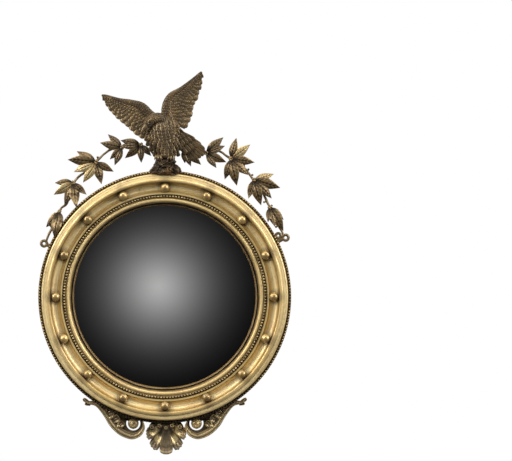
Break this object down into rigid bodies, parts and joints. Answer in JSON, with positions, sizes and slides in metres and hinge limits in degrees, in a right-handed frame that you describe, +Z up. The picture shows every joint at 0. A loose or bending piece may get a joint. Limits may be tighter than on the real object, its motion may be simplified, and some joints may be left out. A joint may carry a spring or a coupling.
{
  "type": "girandole mirror",
  "caption": "Round convex wall mirror in a turned gilded frame with balls, bead rows, an eagle crest, leaf garlands and a carved scroll apron, hung from folding rings at the back.",
  "frame": {"origin": "on the turning axis of the round frame, in the plane of the wall, which is the outer face of the backboard", "axes": "+Z up, -Y out of the mirror towards the viewer, +X to the viewer's right"},
  "size_m": [0.56, 0.07, 0.85],
  "materials": {
    "gilt": "water gilding over gesso and bole, satin, rubbed on the high edges",
    "bronzed_gilt": "carved, darkened gilding with gold on the high points",
    "gilded_iron": "darkened gilding on iron wire",
    "ebonised_wood": "black polished",
    "silvered_glass": "old dark silvering behind convex glass",
    "bare_pine": "planed, unfinished, darkened with age",
    "iron": "forged, browned",
    "brass": "dull, unlacquered"
  },
  "bodies": {
    "frame": {"apron_leaf": "bronzed_gilt", "apron_scroll_left": "bronzed_gilt", "apron_scroll_right": "bronzed_gilt", "backboard": "bare_pine", "backboard_screw_1": "iron", "backboard_screw_2": "iron", "backboard_screw_3": "iron", "backboard_screw_4": "iron", "ball_01": "gilt", "ball_02": "gilt", "ball_03": "gilt", "ball_04": "gilt", "ball_05": "gilt", "ball_06": "gilt", "ball_07": "gilt", "ball_08": "gilt", "ball_09": "gilt", "ball_10": "gilt", "ball_11": "gilt", "ball_12": "gilt", "ball_13": "gilt", "ball_14": "gilt", "ball_15": "gilt", "ball_16": "gilt", "convex_glass": "silvered_glass", "crest_strap": "iron", "crest_strap_screw": "iron", "eagle_body": "bronzed_gilt", "ebonised_slip": "ebonised_wood", "frame_ring": "gilt", "garland_left_leaves_1": "bronzed_gilt", "garland_left_leaves_2": "bronzed_gilt", "garland_left_leaves_3": "bronzed_gilt", "garland_left_leaves_4": "bronzed_gilt", "garland_left_leaves_5": "bronzed_gilt", "garland_right_leaves_1": "bronzed_gilt", "garland_right_leaves_2": "bronzed_gilt", "garland_right_leaves_3": "bronzed_gilt", "garland_right_leaves_4": "bronzed_gilt", "garland_right_leaves_5": "bronzed_gilt", "garland_stem_left": "gilded_iron", "garland_stem_right": "gilded_iron", "glazing_block_1": "bare_pine", "glazing_block_2": "bare_pine", "glazing_block_3": "bare_pine", "glazing_block_4": "bare_pine", "hanger_screw_1": "brass", "hanger_screw_2": "brass", "hanger_screw_3": "brass", "hanger_screw_4": "brass", "hanger_strap_left": "brass", "hanger_strap_right": "brass", "inner_beading": "gilt", "outer_beading": "gilt", "rock_plinth": "bronzed_gilt", "sight_ring": "gilt", "wing_left": "bronzed_gilt", "wing_right": "bronzed_gilt"},
    "left_ring": {"hanging_ring_left": "brass"},
    "right_ring": {"hanging_ring_right": "brass"}
  },
  "joints": [
    {"name": "left_ring_fold", "type": "hinge", "parent": "frame", "child": "left_ring", "pos_m": [-0.21772, -0.0082, 0.15182], "axis": [1, 0, 0], "range_deg": [0, 180]},
    {"name": "right_ring_fold", "type": "hinge", "parent": "frame", "child": "right_ring", "pos_m": [0.21772, -0.0082, 0.15182], "axis": [1, 0, 0], "range_deg": [0, 180]}
  ]
}
